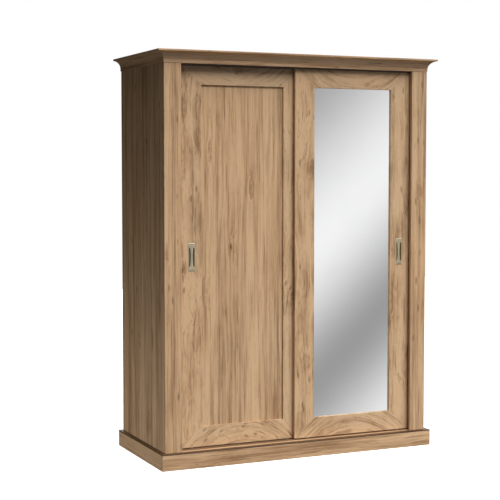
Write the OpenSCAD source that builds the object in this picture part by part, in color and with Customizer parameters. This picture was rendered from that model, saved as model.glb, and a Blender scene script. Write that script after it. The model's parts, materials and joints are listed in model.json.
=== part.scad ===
// Two-door sliding wardrobe: carcass, plinth, cornice, twin tracks, two framed doors.
// +X runs to the right, +Y to the back and +Z up. The origin is under the middle of the floor area.

/* [Carcass] */
// Width over the two side panels
body_w = 1496; // [1480:1:1520]
// Depth from the pilaster faces to the wall
body_d = 655; // [620:1:680]
// Height of the side panels and the top panel
carcass_h = 2057; // [2050:1:2064]
// Thickness of the carcass boards
board_t = 18; // [16:1:18]
// Thickness of the back sheets
back_t = 3; // [2.5:0.5:4]
// Width of the two front pilasters
pilaster_w = 90.5; // [84:0.5:100]
// Height of the bottom panel's upper face
floor_z = 84.5; // [82:0.5:90]

/* [Plinth and cornice] */
// Thickness of the plinth boards, and how far they stand out
plinth_t = 24; // [18:1:26]
// Height of the plinth boards, under their dark caps
plinth_h = 78; // [70:1:80]
// How far the cornice stands out at the front and the sides
crown_out = 42; // [36:1:46]
// Height of the cornice's lower edge
crown_z = 2012; // [2008:1:2016]
// Height of the cornice moulding
crown_h = 63; // [58:1:66]
// Height of the cornice's top lip
crown_lip = 9; // [6:1:12]
// Radius of the cornice's hollow
cove_r = 41; // [36:1:42]

/* [Interior] */
// Height of the hat shelves' upper face
hat_shelf_z = 1708; // [1650:1:1760]
// Height of the lowest adjustable shelf's lower face
shelf_z = 436; // [420:1:500]
// Step in height from one adjustable shelf to the next
shelf_step = 352; // [320:1:370]
// Height of the hanging rail's axis
rail_z = 1632; // [1580:1:1640]
// Distance of the shelves' front edges behind the pilaster faces
shelf_setback = 112; // [100:1:140]

/* [Doors] */
// Width of each door
door_w = 699; // [690:1:700]
// Height of each door
door_h = 1932; // [1928:1:1934]
// Thickness of the door frames
door_t = 18; // [16:1:19]
// Height of the doors' lower edges
door_z = 91; // [90:0.5:92]
// Distance of the closed left door's outer edge from the carcass's outer face
left_tuck = 85; // [80:1:88]
// Distance of the closed right door's outer edge from the carcass's outer face
right_tuck = 69; // [66:1:88]
// Width of the handle stiles
outer_stile = 134; // [120:1:140]
// Width of the meeting stiles
inner_stile = 112; // [100:1:120]
// Width of the bottom rails
bottom_rail = 104; // [96:1:110]
// Width of the top rails
top_rail = 112; // [104:1:120]
// Depth of the panel's and the mirror's faces behind the frame's face
panel_recess = 10; // [8:0.5:12]
// Distance of the right, front door's face behind the pilaster faces
front_lane = 29.6; // [28:0.1:31]
// Distance of the left, rear door's face behind the pilaster faces
rear_lane = 54.2; // [53:0.1:55]

/* [Travel] */
// How far the left door slides to the right
left_travel = 540; // [500:5:560]
// How far the right door slides to the left
right_travel = 640; // [600:5:640]

/* [Handles] */
// Length of the handle plate
handle_l = 142; // [130:1:150]
// Width of the handle plate
handle_w = 39; // [34:1:42]
// Distance of the handle's middle from the stile's inner edge
handle_in = 54.5; // [50:0.5:60]
// Height of the handle's middle
handle_z = 1052; // [1000:1:1100]

/* [Rollers] */
// Radius of the roller's flanges
roller_r = 13; // [11:0.5:14]
// Depth of the roller's groove
groove_d = 1.5; // [1:0.1:2]
// Width of the roller
roller_w = 7; // [6:0.5:7]

/* [Hidden] */
$fn = 48;

OAK = "#c2a078";
OAK_DARK = "#8a6a4a";
CAP_BROWN = "#4a2f17";
CORE_WHITE = "#e8e2d6";
TRACK_BRONZE = "#4c3b2b";
STEEL = "#b8bcc0";
NICKEL = "#968c6e";
NYLON = "#d8d8d0";
BLACK = "#2a2a2a";
SILVERING = "#cfd8dc";
BIRCH = "#dcc49a";

eps = 0.01;
fit = 0.05;

// Main planes
half_w = body_w / 2;
inner_x = half_w - board_t;
front_y = (crown_out - body_d) / 2;
wall_y = front_y + body_d;
wall_gap = 5;
carcass_y = wall_y - wall_gap;
board_y = front_y + board_t;
floor_under = floor_z - board_t;
top_under = carcass_h - board_t;
glide_h = 3;
pilaster_in = half_w - pilaster_w;
shelf_y = front_y + shelf_setback;

// Partition and shelves
partition_setback = 95;
partition_y = front_y + partition_setback;
partition_x = board_t / 2;
shelf_zs = [for (i = [0:2]) shelf_z + i * shelf_step];
hat_under = hat_shelf_z - board_t;

// Doors
front_door_y = front_y + front_lane;
rear_door_y = front_y + rear_lane;
left_door_x = -half_w + left_tuck;
right_door_x = half_w - right_tuck;
rebate_w = 7;
mirror_t = 4;
arris = 2;

// Tracks
track_half = inner_x - 1;
track_setback = 21.5;
track_y = front_y + track_setback;
track_w = 58.5;
track_wall = 1.5;
track_lip_z = 2004;
web_t = 2;
fin_ys = [0, 28.5, 57];
lane_ys = [front_door_y + door_t / 2, rear_door_y + door_t / 2];
lower_track_setback = 24;
lower_track_y = front_y + lower_track_setback;
lower_track_w = 60;
lower_base_t = 1.2;
ridge_h = 3;
ridge_w = 2;
stop_l = 24;
stop_gap = 0.4;

// Rollers
roller_gap = 0.3;
ridge_top = floor_z + lower_base_t + ridge_h;
roller_z = ridge_top + roller_gap + roller_r - groove_d;
roller_inset = 80;
roller_us = [roller_inset, door_w - roller_inset];
axle_r = 2;
housing_l = 40;
housing_w = 12;
housing_h = 36;
slot_w = 8;

// Top guides
guide_us = roller_us;
guide_l = 40;
guide_h = 9;
guide_gap = 0.4;
peg_r = 4;
peg_l = 14;

// Handles
plate_t = 1.5;
cup_l = 126;
cup_w = 33;
cup_d = 11;
cup_wall = 1.2;
grip_half = 4.5;
slot_half = 14.5;
slot_half_l = 52;
slot_r = (pow(slot_half_l, 2) + pow(slot_half - grip_half, 2)) / (2 * (slot_half - grip_half));

// Fixings
cam_in = 24;
cam_r = 7.5;
cam_t = 13;
bolt_r = 3;
bolt_end_r = 2.5;
bolt_end_l = 11;
cam_ys = [front_y + 130, carcass_y - 120];
cam_shift = 32;
dowel_r = 4;
dowel_l = 30;
dowel_in_face = 12;
pilaster_dowel_zs = [250, 800, 1350, 1900];
partition_dowel_ys = [partition_y + 70, carcass_y - 90];
bolt_room = 1;
screw_room = 0.25;
screw_r = 1.75;
screw_l = 16;
screw_head_r = 3.5;
screw_head_t = 1.8;
track_screw_xs = [-650, -325, 20, 325, 650];
upper_screw_ys = [track_y + 15, track_y + 43.5];
lower_screw_y = front_y + 51;
plinth_screw_z = 38;
plinth_screw_l = 30;
plinth_screw_xs = [-560, -190, 190, 560];
plinth_screw_ys = [front_y + 100, front_y + 330, front_y + 560];
back_head_r = 4;
back_head_t = 1.5;
back_screw_r = 1.5;
back_inset = 2;
back_screw_in = 5;
back_screw_margin = 150;
back_screw_rows = 6;
back_screw_zs = [
    for (i = [0:back_screw_rows])
        back_screw_margin + i * (carcass_h - 2 * back_screw_margin) / back_screw_rows
];
bracket_x = 600;
bracket_w = 40;
bracket_t = 2;
bracket_l = 38;
bracket_h = 18;
bracket_hole_r = 2.75;
bracket_hole_up = 10;
bracket_hole_z = carcass_h + bracket_hole_up;
bracket_screw_step = 11;
bracket_screw_xs = [
    for (side = [-1, 1], step = [-1, 1])
        side * bracket_x + step * bracket_screw_step
];
bracket_screw_out = 24;
bracket_screw_y = wall_y - bracket_screw_out;
pin_r = 2.5;
pin_in = 9;
pin_out = 9;
pin_pitch = 32;
pin_ys = [shelf_y + 50, carcass_y - 70];
rail_half_h = 15;
rail_half_w = 7.5;
rail_wall = 1.5;
rail_setback = 375;
rail_y = front_y + rail_setback;
socket_wall = 2.5;
socket_d = 12;
socket_floor = 2;

// ---------- Small helpers ----------

// A block given by its two corners
module block(low, high) {
    translate(low)
        cube(high - low);
}

// The same part at the left and mirrored at the right
module both_sides() {
    children();
    mirror([1, 0, 0])
        children();
}

// A cylinder that runs from a point along X, in the direction of its sign
module rod_x(from, length, r) {
    translate(from)
        rotate([0, length > 0 ? 90 : -90, 0])
            cylinder(h = abs(length), r = r);
}

// A cylinder that runs from a point along Y, in the direction of its sign
module rod_y(from, length, r) {
    translate(from)
        rotate([length > 0 ? -90 : 90, 0, 0])
            cylinder(h = abs(length), r = r);
}

// A cylinder that runs from a point along Z, in the direction of its sign
module rod_z(from, length, r) {
    translate(from)
        mirror([0, 0, length > 0 ? 0 : 1])
            cylinder(h = abs(length), r = r);
}

// ---------- Fixings: one module places each kind, grown by "slack" when it is a hole ----------

// Ends of the boards that cams join: [x of the end, height of the board's middle, outward sign, y shift]
cam_ends = [
    [-inner_x, floor_z - board_t / 2, -1, 0],
    [inner_x, floor_z - board_t / 2, 1, 0],
    [-inner_x, carcass_h - board_t / 2, -1, 0],
    [inner_x, carcass_h - board_t / 2, 1, 0],
    [-inner_x, hat_shelf_z - board_t / 2, -1, 0],
    [-partition_x, hat_shelf_z - board_t / 2, 1, 0],
    [partition_x, hat_shelf_z - board_t / 2, -1, cam_shift],
    [inner_x, hat_shelf_z - board_t / 2, 1, 0]
];

// Top face of a cam: cams open downwards, except in the top panel
function cam_is_up(z) = z > carcass_h - board_t;

module cam_bodies(slack = 0) {
    for (e = cam_ends, y = cam_ys)
        translate([e[0] - e[2] * cam_in, y + e[3], e[1]])
            if (cam_is_up(e[1]))
                translate([0, 0, board_t / 2 - cam_t])
                    cylinder(h = cam_t + slack, r = cam_r + slack);
            else
                translate([0, 0, -board_t / 2 - slack])
                    cylinder(h = cam_t + slack, r = cam_r + slack);
}

module cam_bolts(slack = 0) {
    for (e = cam_ends, y = cam_ys) {
        start = [e[0] - e[2] * cam_in, y + e[3], e[1]];
        rod_x(start, e[2] * cam_in, bolt_r + slack);
        rod_x([e[0], start.y, e[1]], e[2] * bolt_end_l, bolt_end_r + min(slack, fit));
    }
}

module dowel_rods(slack = 0) {
    // Pilasters to side panels
    for (s = [-1, 1], z = pilaster_dowel_zs)
        rod_y([s * (half_w - board_t / 2), board_y - dowel_in_face, z], dowel_l, dowel_r + slack);
    // Partition to bottom and top panels
    for (y = partition_dowel_ys) {
        rod_z([0, y, floor_z - dowel_in_face], dowel_l, dowel_r + slack);
        rod_z([0, y, top_under + dowel_in_face], -dowel_l, dowel_r + slack);
    }
}

module screw_shafts(slack = 0) {
    r = screw_r + slack;
    for (x = track_screw_xs) {
        rod_z([x, lower_screw_y, floor_z + lower_base_t], -screw_l, r);
        for (y = upper_screw_ys)
            rod_z([x, y, top_under - web_t], screw_l, r);
    }
    for (x = plinth_screw_xs)
        rod_y([x, board_y, plinth_screw_z], -plinth_screw_l, r);
    for (s = [-1, 1], y = plinth_screw_ys)
        rod_x([s * inner_x, y, plinth_screw_z], s * plinth_screw_l, r);
    for (x = bracket_screw_xs)
        rod_z([x, bracket_screw_y, carcass_h + bracket_t], -screw_l, r);
}

module screw_heads() {
    for (x = track_screw_xs) {
        rod_z([x, lower_screw_y, floor_z + lower_base_t], screw_head_t, screw_head_r);
        for (y = upper_screw_ys)
            rod_z([x, y, top_under - web_t], -screw_head_t, screw_head_r);
    }
    for (x = plinth_screw_xs)
        rod_y([x, board_y, plinth_screw_z], screw_head_t, screw_head_r);
    for (s = [-1, 1], y = plinth_screw_ys)
        rod_x([s * inner_x, y, plinth_screw_z], -s * screw_head_t, screw_head_r);
    for (x = bracket_screw_xs)
        rod_z([x, bracket_screw_y, carcass_h + bracket_t], screw_head_t, screw_head_r);
}

// Places of the back screws for the left sheet, as [x, z]
back_points = concat(
    [for (z = back_screw_zs) [-half_w + board_t / 2, z]],
    [for (z = back_screw_zs) [-back_screw_in, z]],
    [for (x = [-500, -250], z = [floor_z - board_t / 2, carcass_h - board_t / 2]) [x, z]]
);

module back_shafts(slack = 0) {
    both_sides()
        for (p = back_points)
            rod_y([p.x, carcass_y + back_t, p.y], -screw_l, back_screw_r + slack);
}

// Pins of the adjustable shelves; the holes add a row above and a row below each pin
module pin_rods(rows = [0], slack = 0, sides = [-1, 1]) {
    for (z = shelf_zs, y = pin_ys, row = rows) {
        for (s = sides)
            rod_x(
                [s < 0 ? partition_x : inner_x, y, z - pin_r + row * pin_pitch],
                s * pin_in,
                pin_r + slack
            );
    }
}

// ---------- Carcass ----------

module side_panel() {
    difference() {
        block([inner_x, board_y, glide_h], [half_w, carcass_y, carcass_h]);
        cam_bolts(fit);
        dowel_rods(fit);
        screw_shafts(fit);
        back_shafts(fit);
        pin_rods([-1, 0, 1], fit, [1]);
    }
}

module side_right() {
    color(OAK)
        side_panel();
}

module side_left() {
    color(OAK)
        difference() {
            mirror([1, 0, 0])
                block([inner_x, board_y, glide_h], [half_w, carcass_y, carcass_h]);
            cam_bolts(fit);
            dowel_rods(fit);
            screw_shafts(fit);
            back_shafts(fit);
        }
}

module bottom_panel() {
    color(OAK)
        difference() {
            block([-inner_x, front_y, floor_under], [inner_x, carcass_y, floor_z]);
            both_sides()
                block([pilaster_in, front_y - 1, floor_under - 1], [half_w, board_y, floor_z + 1]);
            cam_bodies(fit);
            cam_bolts(bolt_room);
            dowel_rods(fit);
            screw_shafts(fit);
            back_shafts(fit);
        }
}

module top_panel() {
    color(OAK)
        difference() {
            block([-inner_x, board_y, top_under], [inner_x, carcass_y, carcass_h]);
            cam_bodies(fit);
            cam_bolts(bolt_room);
            dowel_rods(fit);
            screw_shafts(fit);
            back_shafts(fit);
        }
}

module partition() {
    color(OAK)
        difference() {
            block([-partition_x, partition_y, floor_z], [partition_x, carcass_y, top_under]);
            cam_bolts(fit);
            dowel_rods(fit);
            back_shafts(fit);
            pin_rods([-1, 0, 1], fit, [-1]);
        }
}

module hat_shelf(x0, x1) {
    color(OAK)
        difference() {
            block([x0, shelf_y, hat_under], [x1, carcass_y, hat_shelf_z]);
            cam_bodies(fit);
            cam_bolts(bolt_room);
        }
}

module hat_shelf_left() {
    hat_shelf(-inner_x, -partition_x);
}

module hat_shelf_right() {
    hat_shelf(partition_x, inner_x);
}

// A loose shelf, a little narrower than its bay
module loose_shelf(z) {
    play = 1;
    color(OAK)
        block([partition_x + play, shelf_y, z], [inner_x - play, carcass_y - play, z + board_t]);
}

module shelf_lower() {
    loose_shelf(shelf_zs[0]);
}

module shelf_middle() {
    loose_shelf(shelf_zs[1]);
}

module shelf_upper() {
    loose_shelf(shelf_zs[2]);
}

// A back sheet reaches from near the carcass edge to the middle of the partition
module back_sheet_left() {
    joint = 0.5;
    color(CORE_WHITE)
        difference() {
            block(
                [-half_w + back_inset, carcass_y, floor_under],
                [-joint, carcass_y + back_t, carcass_h - back_inset]
            );
            back_shafts(0.1);
        }
}

module back_sheet_right() {
    mirror([1, 0, 0])
        back_sheet_left();
}

module back_screws() {
    color(STEEL) {
        back_shafts();
        both_sides()
            for (p = back_points)
                rod_y([p.x, carcass_y + back_t, p.y], back_head_t, back_head_r);
    }
}

// ---------- Base ----------

module base_rail_front() {
    color(OAK_DARK)
        difference() {
            block([-pilaster_in, front_y, glide_h], [pilaster_in, board_y, floor_under]);
            screw_shafts(fit);
        }
}

module base_rail_back() {
    color(OAK_DARK)
        block([-inner_x, carcass_y - board_t, glide_h], [inner_x, carcass_y, floor_under]);
}

module base_rail_middle() {
    color(OAK_DARK)
        block([-partition_x, board_y, glide_h], [partition_x, carcass_y - board_t, floor_under]);
}

module floor_glides() {
    foot_r = 6.5;
    top_r = 8;
    bevel = 1.2;
    glide_ys = [front_y + 60, front_y + 330, carcass_y - 40];
    color(BLACK)
        for (x = [-half_w + board_t / 2, 0, half_w - board_t / 2], y = glide_ys)
            translate([x, y, 0])
                rotate_extrude()
                    polygon([[0, 0], [foot_r, 0], [top_r, bevel], [top_r, glide_h], [0, glide_h]]);
}

// ---------- Front ----------

module pilaster_right() {
    color(OAK)
        difference() {
            block([pilaster_in, front_y, glide_h], [half_w, board_y, carcass_h]);
            dowel_rods(fit);
        }
}

module pilaster_left() {
    mirror([1, 0, 0])
        pilaster_right();
}

module fascia() {
    color(OAK)
        block([-pilaster_in, front_y, crown_z], [pilaster_in, board_y, carcass_h]);
}

// ---------- Plinth ----------

module plinth_front() {
    side = half_w + plinth_t;
    color(OAK)
        difference() {
            block([-side, front_y - plinth_t, 0], [side, front_y, plinth_h]);
            screw_shafts(fit);
        }
}

module plinth_right() {
    color(OAK)
        difference() {
            block([half_w, front_y, 0], [half_w + plinth_t, wall_y, plinth_h]);
            screw_shafts(fit);
        }
}

module plinth_left() {
    mirror([1, 0, 0])
        plinth_right();
}

// Outline of a cap: a strip with a small bevel on its outer top edge
module cap_outline() {
    bevel = 1.5;
    cap_h = floor_z - plinth_h;
    polygon([[0, 0], [plinth_t, 0], [plinth_t, cap_h - bevel], [plinth_t - bevel, cap_h], [0, cap_h]]);
}

module plinth_caps() {
    color(CAP_BROWN)
        translate([0, 0, plinth_h])
            frame_strips(plinth_t)
                cap_outline();
}

// Three strips round the front and the sides of the carcass, mitred at the front corners.
// The outline's X points away from the carcass and its Y points up.
module front_strip(out) {
    reach = half_w + out;
    intersection() {
        translate([-reach, front_y, 0])
            rotate([90, 0, 90])
                mirror([1, 0, 0])
                    linear_extrude(height = 2 * reach)
                        children();
        linear_extrude(height = 200, center = true)
            polygon([
                [-half_w, front_y], [-reach, front_y - out],
                [reach, front_y - out], [half_w, front_y]
            ]);
    }
}

module right_strip(out) {
    reach = half_w + out;
    intersection() {
        translate([half_w, wall_y, 0])
            rotate([90, 0, 0])
                linear_extrude(height = body_d + out)
                    children();
        linear_extrude(height = 200, center = true)
            polygon([
                [half_w, front_y], [reach, front_y - out],
                [reach, wall_y], [half_w, wall_y]
            ]);
    }
}

module frame_strips(out) {
    front_strip(out)
        children();
    both_sides()
        right_strip(out)
            children();
}

// ---------- Cornice ----------

// Lip on top, a hollow under it, and a narrow flat at the foot
module crown_outline() {
    cove_top = crown_h - crown_lip;
    cove_out = crown_out + 1.5;
    difference() {
        square([crown_out, crown_h]);
        translate([cove_out, cove_top - cove_r])
            circle(r = cove_r, $fn = 96);
        translate([cove_out - cove_r, -1])
            square([cove_r, cove_top - cove_r + 1]);
    }
}

module cornice_front() {
    color(OAK)
        translate([0, 0, crown_z])
            front_strip(crown_out)
                crown_outline();
}

module cornice_right() {
    color(OAK)
        translate([0, 0, crown_z])
            right_strip(crown_out)
                crown_outline();
}

module cornice_left() {
    mirror([1, 0, 0])
        cornice_right();
}

// ---------- Tracks ----------

// A web with three fins that hang down, which make one channel for each door
module upper_track() {
    color(TRACK_BRONZE)
        difference() {
            union() {
                block(
                    [-track_half, track_y, top_under - web_t],
                    [track_half, track_y + track_w, top_under]
                );
                for (y = fin_ys)
                    block(
                        [-track_half, track_y + y, track_lip_z],
                        [track_half, track_y + y + track_wall, top_under]
                    );
            }
            screw_shafts(screw_room);
        }
}

// A flat base with one round-topped ridge under each door
module lower_track() {
    color(TRACK_BRONZE)
        difference() {
            union() {
                block(
                    [-track_half, lower_track_y, floor_z],
                    [track_half, lower_track_y + lower_track_w, floor_z + lower_base_t]
                );
                for (y = lane_ys) {
                    block(
                        [-track_half, y - ridge_w / 2, floor_z],
                        [track_half, y + ridge_w / 2, ridge_top - ridge_w / 2]
                    );
                    rod_x([-track_half, y, ridge_top - ridge_w / 2], 2 * track_half, ridge_w / 2);
                }
            }
            screw_shafts(screw_room);
        }
}

// Nylon blocks in the upper channels, which stop each door where it is closed and fully open
module door_stops() {
    side_gap = 0.1;
    z0 = track_lip_z + 4;
    z1 = top_under - web_t;
    lane_w = fin_ys[1] - track_wall - 2 * side_gap;
    front_stop_y = track_y + track_wall + side_gap;
    rear_stop_y = front_stop_y + fin_ys[1];
    left_closed = left_door_x - stop_gap - stop_l;
    left_open = left_door_x + door_w + left_travel + stop_gap;
    right_closed = right_door_x + stop_gap;
    right_open = right_door_x - door_w - right_travel - stop_gap - stop_l;
    color(BLACK) {
        for (x = [left_closed, left_open])
            block([x, rear_stop_y, z0], [x + stop_l, rear_stop_y + lane_w, z1]);
        for (x = [right_closed, right_open])
            block([x, front_stop_y, z0], [x + stop_l, front_stop_y + lane_w, z1]);
    }
}

// ---------- Interior fittings ----------

module oval(half_w, half_h) {
    square([2 * half_w, 2 * (half_h - half_w)], center = true);
    for (s = [-1, 1])
        translate([0, s * (half_h - half_w)])
            circle(r = half_w);
}

// Stands an outline on edge and runs it along X from x0
module along_x(x0, length) {
    translate([x0, rail_y, rail_z])
        rotate([90, 0, 90])
            linear_extrude(height = length)
                children();
}

module hanging_rail() {
    play = socket_floor + 0.5;
    color(STEEL)
        along_x(-inner_x + play, inner_x - partition_x - 2 * play)
            difference() {
                oval(rail_half_w, rail_half_h);
                oval(rail_half_w - rail_wall, rail_half_h - rail_wall);
            }
}

module rail_sockets() {
    gap = 0.1;
    outer_w = rail_half_w + gap + socket_wall;
    outer_h = rail_half_h + gap + socket_wall;
    color(STEEL)
        for (end = [[-inner_x, 1], [-partition_x, -1]])
            translate([end[0], 0, 0])
                mirror([end[1] < 0 ? 1 : 0, 0, 0]) {
                    along_x(0, socket_floor)
                        oval(outer_w, outer_h);
                    along_x(socket_floor, socket_d - socket_floor)
                        difference() {
                            oval(outer_w, outer_h);
                            oval(rail_half_w + gap, rail_half_h + gap);
                        }
                }
}

module shelf_pins() {
    color(STEEL) {
        pin_rods();
        for (z = shelf_zs, y = pin_ys, s = [-1, 1])
            rod_x([s < 0 ? partition_x : inner_x, y, z - pin_r], -s * pin_out, pin_r);
    }
}

module cam_fittings() {
    color(STEEL) {
        difference() {
            cam_bodies();
            cam_bolts(0.3);
        }
        cam_bolts();
    }
}

module wooden_dowels() {
    color(BIRCH)
        dowel_rods();
}

module chipboard_screws() {
    color(STEEL) {
        screw_shafts();
        screw_heads();
    }
}

// Steel angles on the top panel, with one hole each for a wall screw
module wall_brackets() {
    color(STEEL)
        for (x = [-bracket_x, bracket_x])
            difference() {
                union() {
                    block(
                        [x - bracket_w / 2, wall_y - bracket_l, carcass_h],
                        [x + bracket_w / 2, wall_y, carcass_h + bracket_t]
                    );
                    block(
                        [x - bracket_w / 2, wall_y - bracket_t, carcass_h],
                        [x + bracket_w / 2, wall_y, carcass_h + bracket_h]
                    );
                }
                rod_y([x, wall_y + 1, bracket_hole_z], -bracket_t - 2, bracket_hole_r);
                screw_shafts(screw_room);
            }
}

// ---------- Doors ----------
// A door is drawn with its outer edge at X = 0, its face at Y = 0 and its foot at Z = 0.

module place_left() {
    translate([left_door_x, rear_door_y, door_z])
        children();
}

module place_right() {
    translate([right_door_x, front_door_y, door_z])
        mirror([1, 0, 0])
            children();
}

open_u0 = outer_stile;
open_u1 = door_w - inner_stile;
open_w0 = bottom_rail;
open_w1 = door_h - top_rail;

// Turns an outline in the door's plane into a board of the door's thickness
module door_board() {
    translate([0, door_t, 0])
        rotate([90, 0, 0])
            linear_extrude(height = door_t)
                children();
}

// A bar that bevels the opening's edge along a rail
module bevel_rails() {
    for (w = [open_w0, open_w1])
        translate([(open_u0 + open_u1) / 2, 0, w])
            rotate([45, 0, 0])
                cube([open_u1 - open_u0 + 2 * arris, arris, arris], center = true);
}

// A bar that bevels the opening's edge along a stile
module bevel_stiles() {
    for (u = [open_u0, open_u1])
        translate([u, 0, (open_w0 + open_w1) / 2])
            rotate([0, 0, 45])
                cube([arris, arris, open_w1 - open_w0 + 2 * arris], center = true);
}

// Everything that is cut out of the frame
module frame_cuts() {
    block(
        [open_u0 - rebate_w, panel_recess, open_w0 - rebate_w],
        [open_u1 + rebate_w, door_t + 1, open_w1 + rebate_w]
    );
    for (u = roller_us)
        block(
            [u - housing_l / 2 - fit, (door_t - housing_w) / 2 - fit, -1],
            [u + housing_l / 2 + fit, (door_t + housing_w) / 2 + fit, housing_h + fit]
        );
    for (u = guide_us)
        rod_z([u, door_t / 2, door_h + 1], -peg_l - 1, peg_r + fit);
    translate([open_u0 - handle_in, 0, handle_z - door_z])
        handle_prism(-1, cup_d, cup_w + 2 * fit, cup_l + 2 * fit);
}

// One stile or rail; its bevel comes as a child
module frame_piece(outline) {
    color(OAK)
        difference() {
            door_board()
                polygon(outline);
            frame_cuts();
            children();
        }
}

outer_outline = [[0, 0], [open_u0, open_w0], [open_u0, open_w1], [0, door_h]];
inner_outline = [[door_w, 0], [door_w, door_h], [open_u1, open_w1], [open_u1, open_w0]];
bottom_outline = [[0, 0], [door_w, 0], [open_u1, open_w0], [open_u0, open_w0]];
top_outline = [[0, door_h], [open_u0, open_w1], [open_u1, open_w1], [door_w, door_h]];

// The sheet that fills the rebate, between two depths
module rebate_sheet(v0, v1) {
    play = 0.2;
    block(
        [open_u0 - rebate_w + play, v0, open_w0 - rebate_w + play],
        [open_u1 + rebate_w - play, v1, open_w1 + rebate_w - play]
    );
}

// A rounded upright prism, between two depths, centred on X = 0 and Z = 0
module handle_prism(v0, v1, width, length) {
    corner = 5;
    translate([0, v1, 0])
        rotate([90, 0, 0])
            linear_extrude(height = v1 - v0)
                rounded_plate(width, length, corner);
}

module rounded_plate(width, length, corner) {
    square([width - 2 * corner, length], center = true);
    square([width, length - 2 * corner], center = true);
    for (i = [-1, 1], j = [-1, 1])
        translate([i * (width / 2 - corner), j * (length / 2 - corner)])
            circle(r = corner);
}

// The two openings beside the grip: each is a slice of a large circle
module grip_openings() {
    for (s = [-1, 1])
        intersection() {
            translate([s * (grip_half + slot_r), 0])
                circle(r = slot_r, $fn = 180);
            translate([s * slot_half / 2, 0])
                square([slot_half, handle_l], center = true);
        }
}

// A flush pull: a plate with a waisted grip over a cup that is let into the stile
module flush_pull() {
    color(NICKEL)
        translate([open_u0 - handle_in, 0, handle_z - door_z])
            difference() {
                union() {
                    handle_prism(-plate_t, 0, handle_w, handle_l);
                    handle_prism(-plate_t, cup_d, cup_w, cup_l);
                }
                handle_prism(1, cup_d - cup_wall, cup_w - 2 * cup_wall, cup_l - 2 * cup_wall);
                translate([0, 2, 0])
                    rotate([90, 0, 0])
                        linear_extrude(height = 2 + plate_t + 1)
                            grip_openings();
            }
}

// A steel channel for one roller, let into the bottom rail
module roller_housing(u) {
    roller_room = 2 * roller_r + 4;
    axle_w = roller_z - door_z;
    difference() {
        block(
            [u - housing_l / 2, (door_t - housing_w) / 2, 0],
            [u + housing_l / 2, (door_t + housing_w) / 2, housing_h]
        );
        block(
            [u - roller_room / 2, (door_t - slot_w) / 2, -1],
            [u + roller_room / 2, (door_t + slot_w) / 2, axle_w + roller_r + 2]
        );
        rod_y([u, -1, axle_w], door_t + 2, axle_r);
    }
}

module roller_axle(u) {
    rod_y([u, (door_t - housing_w) / 2, roller_z - door_z], housing_w, axle_r);
}

// A grooved nylon roller, whose bore runs on its axle
module roller(u) {
    bore_r = axle_r + fit;
    flange = (roller_w - ridge_w) / 2 - 0.6;
    half = roller_w / 2;
    translate([u, door_t / 2, roller_z - door_z])
        rotate([90, 0, 0])
            rotate_extrude($fn = 64)
                polygon([
                    [bore_r, -half], [roller_r, -half], [roller_r, -half + flange],
                    [roller_r - groove_d, -half + flange], [roller_r - groove_d, half - flange],
                    [roller_r, half - flange], [roller_r, half], [bore_r, half]
                ]);
}

// A nylon block on a peg, which runs between two fins of the upper track
module top_guide(u, v0, v1) {
    block([u - guide_l / 2, v0, door_h], [u + guide_l / 2, v1, door_h + guide_h]);
    rod_z([u, door_t / 2, door_h + eps], -peg_l, peg_r);
}

module left_outer_stile() {
    place_left()
        frame_piece(outer_outline)
            bevel_stiles();
}

module left_inner_stile() {
    place_left()
        frame_piece(inner_outline)
            bevel_stiles();
}

module left_top_rail() {
    place_left()
        frame_piece(top_outline)
            bevel_rails();
}

module left_bottom_rail() {
    place_left()
        frame_piece(bottom_outline)
            bevel_rails();
}

module left_panel() {
    color(OAK)
        place_left()
            rebate_sheet(panel_recess, door_t);
}

module left_handle() {
    place_left()
        flush_pull();
}

module left_top_guides() {
    v0 = track_y + fin_ys[1] + track_wall + guide_gap - rear_door_y;
    v1 = track_y + fin_ys[2] - guide_gap - rear_door_y;
    color(NYLON)
        place_left()
            for (u = guide_us)
                top_guide(u, v0, v1);
}

module left_roller_housings() {
    color(STEEL)
        place_left()
            for (u = roller_us)
                roller_housing(u);
}

module left_roller_axles() {
    color(STEEL)
        place_left()
            for (u = roller_us)
                roller_axle(u);
}

module left_roller_outer() {
    color(NYLON)
        place_left()
            roller(roller_us[0]);
}

module left_roller_inner() {
    color(NYLON)
        place_left()
            roller(roller_us[1]);
}

module right_outer_stile() {
    place_right()
        frame_piece(outer_outline)
            bevel_stiles();
}

module right_inner_stile() {
    place_right()
        frame_piece(inner_outline)
            bevel_stiles();
}

module right_top_rail() {
    place_right()
        frame_piece(top_outline)
            bevel_rails();
}

module right_bottom_rail() {
    place_right()
        frame_piece(bottom_outline)
            bevel_rails();
}

module right_mirror() {
    color(SILVERING)
        place_right()
            rebate_sheet(panel_recess, panel_recess + mirror_t);
}

module right_backing() {
    color(CORE_WHITE)
        place_right()
            rebate_sheet(panel_recess + mirror_t, door_t);
}

module right_handle() {
    place_right()
        flush_pull();
}

module right_top_guides() {
    v0 = track_y + track_wall + guide_gap - front_door_y;
    v1 = track_y + fin_ys[1] - guide_gap - front_door_y;
    color(NYLON)
        place_right()
            for (u = guide_us)
                top_guide(u, v0, v1);
}

module right_roller_housings() {
    color(STEEL)
        place_right()
            for (u = roller_us)
                roller_housing(u);
}

module right_roller_axles() {
    color(STEEL)
        place_right()
            for (u = roller_us)
                roller_axle(u);
}

module right_roller_outer() {
    color(NYLON)
        place_right()
            roller(roller_us[0]);
}

module right_roller_inner() {
    color(NYLON)
        place_right()
            roller(roller_us[1]);
}

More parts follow.
